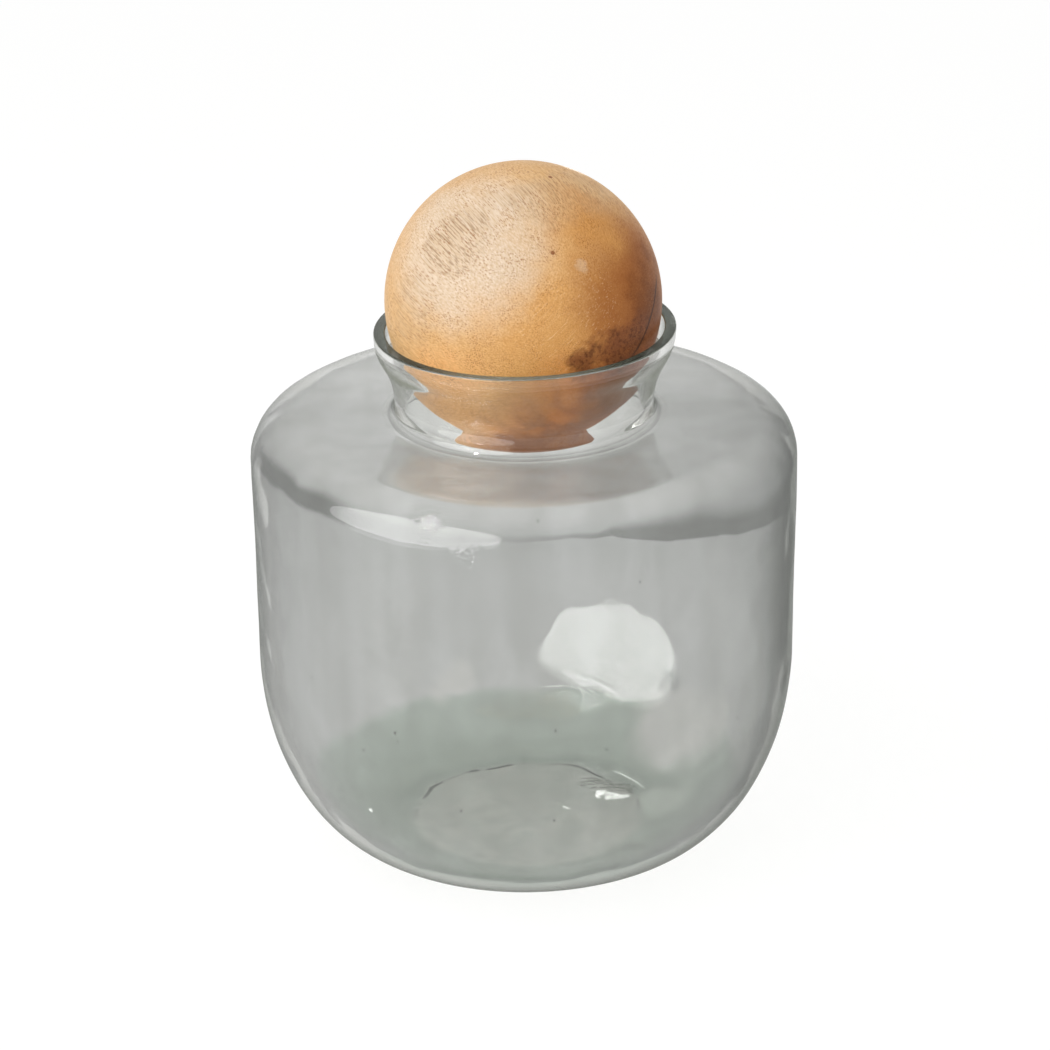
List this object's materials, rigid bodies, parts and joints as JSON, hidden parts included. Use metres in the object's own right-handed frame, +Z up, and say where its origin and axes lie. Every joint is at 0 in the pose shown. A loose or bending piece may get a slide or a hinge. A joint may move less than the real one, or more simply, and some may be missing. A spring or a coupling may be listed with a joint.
{
  "type": "kitchen canister",
  "caption": "Blown-glass kitchen canister with a flat shoulder, bowl-shaped heel and flared collar, closed by a loose turned wooden ball that rests in the mouth.",
  "frame": {"origin": "on the table, at the centre of the foot ring", "axes": "+Z up along the jar's axis, through the middle of the ball; X and Y lie in the table's plane"},
  "size_m": [0.199, 0.199, 0.2592],
  "materials": {
    "jar_glass": "clear smoky grey-green blown glass, flat rim with polished edges",
    "stopper_wood": "turned, sanded and lightly oiled"
  },
  "bodies": {
    "jar": {"glass_jar": "jar_glass"},
    "stopper": {"ball_stopper": "stopper_wood"}
  },
  "joints": [
    {"name": "stopper_lift", "type": "slide", "parent": "jar", "child": "stopper", "axis": [0, 0, 1], "range_m": [0, 0.15]}
  ]
}
